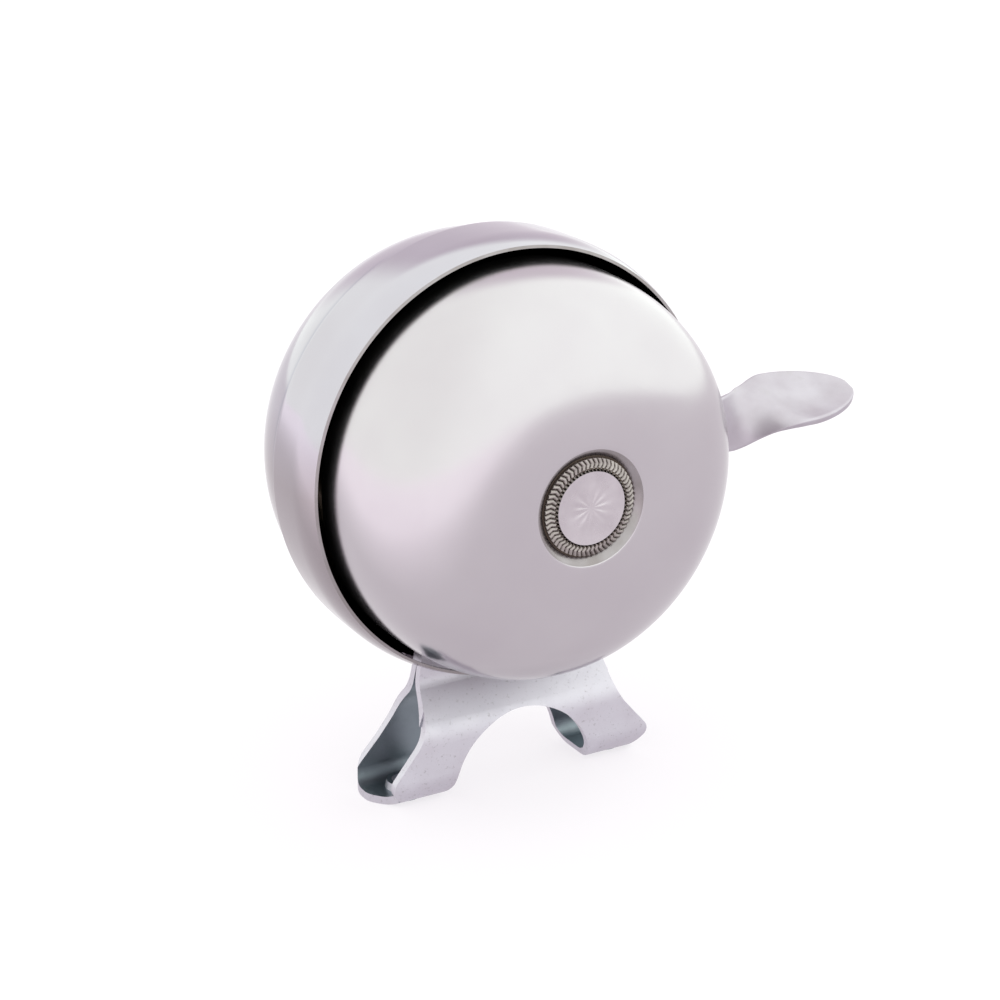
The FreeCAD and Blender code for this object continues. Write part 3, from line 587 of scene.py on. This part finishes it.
def nut_slot(radius, angle):
    """The disc is clean and the ribs are worn; the notches, and dots along the groove inside them, take the
    near-black steel as painted shade.
    """
    if radius < DISC_RADIUS:
        return POLISHED
    if across_knurl(radius) < 0.12:
        return DARK if math.cos(NUT_RIBS * angle) < 0.1 else WORN_AND_SHADE
    return DARK if rib(radius, angle) < 0.3 else WORN_AND_SHADE


def steps_between(start, end, count):
    """Evenly spaced values after start, up to and with end."""
    return [start + (end - start) * i / count for i in range(1, count + 1)]


def cap_nut():
    """Knurled ring round a smooth raised disc with a shallow generic rosette."""
    segments = NUT_RIBS * RIB_FACETS
    radii = steps_between(0, DISC_RADIUS, 16) + steps_between(DISC_RADIUS, KNURL_START, 5)
    radii += steps_between(KNURL_START, NUT_RADIUS, 14)
    bm = bmesh.new()
    centre = bm.verts.new((0, RECESS_FLOOR_Y - nut_height(0.0, 0.0), AXIS_Z))
    rows = [[centre] * segments]
    for radius in radii:
        row = []
        for k, (x, y, z) in enumerate(around_axis(radius, RECESS_FLOOR_Y, segments)):
            row.append(bm.verts.new((x, y - nut_height(radius, 2 * math.pi * k / segments), z)))
        rows.append(row)
    for radius, y in ((NUT_RADIUS, RECESS_FLOOR_Y), (NUT_BORE, RECESS_FLOOR_Y), (NUT_BORE, NUT_BACK_Y)):
        rows.append([bm.verts.new(place) for place in around_axis(radius, y, segments)])
    bounds = [0.0] + radii + [NUT_RADIUS]
    for i, (near, far) in enumerate(zip(rows, rows[1:])):
        faces = joined(bm, near, far)
        for k, face in enumerate(faces):
            if i + 1 < len(bounds):
                middle = (bounds[i] + bounds[i + 1]) / 2
                face.material_index = nut_slot(middle, 2 * math.pi * (k + 0.5) / segments)
            else:
                # The nut's side, bore and back take the near-black steel too: painted shade in the gap round
                # it.
                face.material_index = DARK
    bm.faces.new(rows[-1][::-1])
    nut = finish_mesh("cap_nut_finish", mesh_of(bm, "cap_nut_finish"), 50)
    dress(nut, NICKEL, INSIDE, KNURL)
    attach(nut, "chassis")
    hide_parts("cap_nut")


# Thumb lever: its strip is drawn in millimetres, x outwards from the bell's axis

LEVER_Y = REAR_MOUTH_Y + 3.7 * MM
LEVER_SHEET = 1.0
BLANK_END = 30.0              # the stamped blank ends here and the strip goes on
PAD_MIDDLE = 50.0
PAD_TIP = 61.0
PAD_LEAN = math.radians(72)
PAD_ROUNDNESS = 1.6
PAD_DISH = 0.95
NECK_HALF_WIDTH = 3.5
SHANK_GAIN = 1.0              # widening before the fold
PAD_GAIN = 2.1                # widening into the pad
NECK_HEIGHT = -2.1            # of the strip's middle, above the bell's axis
SHANK_RISE = 0.8
PAD_RISE = 2.2
FOLD_START, FOLD_END = 32.5, 52.0
FOLD_SOFTNESS = 14.5
TIP_ROUNDING = 0.45
EDGE_ROUNDING = 0.25
STATION_STEP = 0.5


def eased(start, end, value):
    """0 before start, 1 after end, and a smooth rise between them."""
    t = min(1.0, max(0.0, (value - start) / (end - start)))
    return t * t * (3 - 2 * t)


def strip_profile(x):
    """The strip's half width, the height of its middle, its dish and half its thickness at x."""
    half = NECK_HALF_WIDTH + SHANK_GAIN * eased(29, 40, x) + PAD_GAIN * eased(42, 48.5, x)
    beyond = max(0.0, (x - PAD_MIDDLE) / (PAD_TIP - PAD_MIDDLE))
    half *= math.sqrt(max(0.0, 1 - beyond ** PAD_ROUNDNESS))
    height = NECK_HEIGHT + SHANK_RISE * eased(29, 39, x) + PAD_RISE * eased(39, 45.5, x)
    pad_half = NECK_HALF_WIDTH + SHANK_GAIN + PAD_GAIN
    dish = PAD_DISH * eased(44, 52, x) * (half / pad_half) ** 2
    tip_round = max(0.0, 1 - (PAD_TIP - x) / TIP_ROUNDING)
    thick = LEVER_SHEET / 2 * math.sqrt(max(0.04, 1 - tip_round ** 2))
    return half, height, dish, thick


def strip_section(x, count=32):
    """One closed section of the strip: a soft fold runs down across it and turns it into the pad."""
    half, height, dish, thick = strip_profile(x)
    progress = eased(FOLD_START, FOLD_END, x)
    fold = half * (1 - 2 * progress) + FOLD_SOFTNESS * (0.5 - progress)
    edge = min(EDGE_ROUNDING, thick * 0.9)
    inner = max(half - edge, 0.05)
    reach = max(half, inner)
    middle = []
    y = z = 0.0
    step = 2 * inner / count
    for i in range(count + 1):
        across = -inner + step * i
        lean = PAD_LEAN * eased(fold - FOLD_SOFTNESS / 2, fold + FOLD_SOFTNESS / 2, across)
        spot = across / reach
        sag = -dish * (1 - spot ** 2)
        slope = math.atan2(2 * dish * spot, reach)
        middle.append((y, z, lean, sag, slope))
        y += math.sin(lean) * step
        z += math.cos(lean) * step
    shift_y, shift_z = middle[count // 2][:2]

    def side(entry, offset, beyond_edge=0.0):
        """A point beside the section's middle line, in metres."""
        along_y, along_z, lean, sag, slope = entry
        out = sag + offset * math.cos(slope)
        across = beyond_edge - offset * math.sin(slope)
        y = along_y - shift_y + across * math.sin(lean) - out * math.cos(lean)
        z = height + along_z - shift_z + across * math.cos(lean) + out * math.sin(lean)
        return (x * MM, LEVER_Y + y * MM, AXIS_Z + z * MM)

    flat = thick - edge
    turn = [(flat + edge * math.sin(a), edge * math.cos(a)) for a in map(math.radians, (60, 30, 0))]
    turn += [(-offset, beyond_edge) for offset, beyond_edge in reversed(turn)]
    loop = [side(entry, thick) for entry in middle]
    loop += [side(middle[-1], offset, beyond_edge) for offset, beyond_edge in turn]
    loop += [side(entry, -thick) for entry in reversed(middle)]
    loop += [side(middle[0], -offset, -beyond_edge) for offset, beyond_edge in turn]
    return loop


def lever_strip():
    """The strip from just inside the stamped blank to the pad's tip, with closer sections at the tip."""
    start = BLANK_END - 1.0
    stations = [start] + steps_between(start, PAD_MIDDLE, round((PAD_MIDDLE - start) / STATION_STEP))
    stations += [PAD_MIDDLE + (PAD_TIP - PAD_MIDDLE) * math.sin(angle)
                 for angle in steps_between(0, math.pi / 2, 26)]
    bm = bmesh.new()
    rings = [[bm.verts.new(point) for point in strip_section(x)] for x in stations]
    for near, far in zip(rings, rings[1:]):
        joined(bm, near, far)
    bm.faces.new(rings[0][::-1])
    bm.faces.new(rings[-1])
    bmesh.ops.recalc_face_normals(bm, faces=bm.faces)
    return mesh_of(bm, "lever_strip")


def thumb_lever():
    """The stamped blank with its toothed sector, and the folded strip that ends in the pad."""
    blank = nodes["thumb_lever"].data.copy()
    far = 40 * MM
    window = rectangle(-far, BLANK_END * MM, AXIS_Z - far, AXIS_Z + far)
    kept = prism(window, LEVER_Y - 5 * MM, LEVER_Y + 5 * MM)
    blank = combined(blank, kept, "INTERSECT")
    lever = finish_mesh("thumb_lever_finish", combined(blank, lever_strip(), "UNION"))
    dress(lever, LEVER)
    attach(lever, "lever")
    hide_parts("thumb_lever")


front_gong()
rear_gong()
cap_nut()
thumb_lever()


# Frame pieces that keep their own shape

FINISHES = {
    "bracket_zinc": ZINC, "lever_zinc": LEVER, "gong_steel": STEEL, "cap_nickel": NICKEL,
    "steel_parts": PLAIN, "hammer_iron": IRON, "spring_wire": PLAIN, "brass": BRASS, "rubber": RUBBER,
}
for subpart in frame["record"]["subparts"]:
    dress(nodes[subpart["node"]], FINISHES[subpart["material_slot"]])


def soften(node, width):
    """Breaks the sharp sheet edges of a frame piece."""
    bevel = nodes[node].modifiers.new("edge", "BEVEL")
    bevel.width = width
    bevel.segments = 3
    bevel.limit_method = "ANGLE"
    bevel.angle_limit = math.radians(40)


soften("saddle_bracket", 0.22 * MM)


# Studio

FLOOR_REACH = 6.0
FLOOR_DROP = 0.05 * MM        # of the paper below the feet


def floor():
    """Plain white paper with painted light: it glows a little, and more towards the lamps on the left."""
    mesh = bpy.data.meshes.new("floor")
    corners = rectangle(-FLOOR_REACH, FLOOR_REACH, -FLOOR_REACH, FLOOR_REACH)
    mesh.from_pydata([(x, y, FOOT_BOTTOM_Z - FLOOR_DROP) for x, y in corners], [], [(0, 1, 2, 3)])
    ground = bpy.data.objects.new("floor", mesh)
    bpy.context.scene.collection.objects.link(ground)
    s = Shader("floor_paper")
    x, y = s.split(s.place)[:2]
    towards_lamps = s.math("SUBTRACT", s.math("MULTIPLY", y, -0.35), x)
    # Painted light: the paper's emission, stronger towards the lamps, also lifts the shadow under the bell.
    glow = s.spread(towards_lamps, 0.76, 1.32, 60 * MM, 150 * MM)
    s.finish(s.blend(s.spread(s.noise(6, 2), 0, 1), (0.16, 0.15, 0.16), (0.17, 0.16, 0.17)), 0.9, None, 0.0)
    s.surface.inputs["Emission Color"].default_value = (1.0, 0.97, 1.0, 1.0)
    s.feed(s.surface.inputs["Emission Strength"], glow)
    dress(ground, s.material)


def world():
    """A bright tent with a dimmer, soft-edged backdrop behind the bell."""
    made = bpy.data.worlds.new("studio")
    bpy.context.scene.world = made
    made.use_nodes = True
    tree = made.node_tree
    tree.nodes.clear()
    output = tree.nodes.new("ShaderNodeOutputWorld")
    background = tree.nodes.new("ShaderNodeBackground")
    coordinate = tree.nodes.new("ShaderNodeTexCoord")

    def toward(direction):
        made = tree.nodes.new("ShaderNodeVectorMath")
        made.operation = "DOT_PRODUCT"
        made.inputs[1].default_value = direction
        tree.links.new(coordinate.outputs["Generated"], made.inputs[0])
        return made.outputs["Value"]

    def ramp(value, low, high, low_colour, high_colour):
        made = tree.nodes.new("ShaderNodeMapRange")
        made.interpolation_type = "SMOOTHSTEP"
        made.inputs["From Min"].default_value = low
        made.inputs["From Max"].default_value = high
        tree.links.new(value, made.inputs["Value"])
        mix = tree.nodes.new("ShaderNodeMix")
        mix.data_type = "RGBA"
        tree.links.new(made.outputs[0], mix.inputs[0])
        for socket, colour in ((mix.inputs[6], low_colour), (mix.inputs[7], high_colour)):
            if isinstance(colour, tuple):
                socket.default_value = (*colour, 1.0)
            else:
                tree.links.new(colour, socket)
        return mix.outputs[2]

    tent = ramp(toward((0.85, -0.45, 0.25)), -0.4, 0.9, (1.62, 1.72, 1.62), (1.82, 1.95, 1.84))
    sky = ramp(toward((0.38, 0.87, 0.32)), 0.88, 0.97, tent, (1.05, 0.98, 1.04))
    tree.links.new(sky, background.inputs[0])
    tree.links.new(background.outputs[0], output.inputs[0])


def camera():
    """Stands to the left of the bell's front and above it, as for a product picture."""
    azimuth, elevation = math.radians(-29.6), math.radians(20.55)
    stand_off = 356.8 * MM
    aside, below = -2.55 * MM, -4.94 * MM
    back = Vector((math.sin(azimuth) * math.cos(elevation), -math.cos(azimuth) * math.cos(elevation),
                   math.sin(elevation)))
    right = Vector((math.cos(azimuth), math.sin(azimuth), 0))
    up = back.cross(right)
    data = bpy.data.cameras.new("camera")
    data.lens = 90.7
    data.sensor_width = 36.0
    data.clip_start = 0.01
    data.clip_end = 50.0
    eye = bpy.data.objects.new("camera", data)
    bpy.context.scene.collection.objects.link(eye)
    turn = Matrix((right, up, back)).transposed().to_4x4()
    bell = Vector((0, REAR_MOUTH_Y, AXIS_Z))
    turn.translation = bell + back * stand_off + right * aside + up * below
    eye.matrix_world = turn
    bpy.context.scene.camera = eye


floor()
world()
camera()
bpy.context.scene.view_settings.view_transform = "Standard"
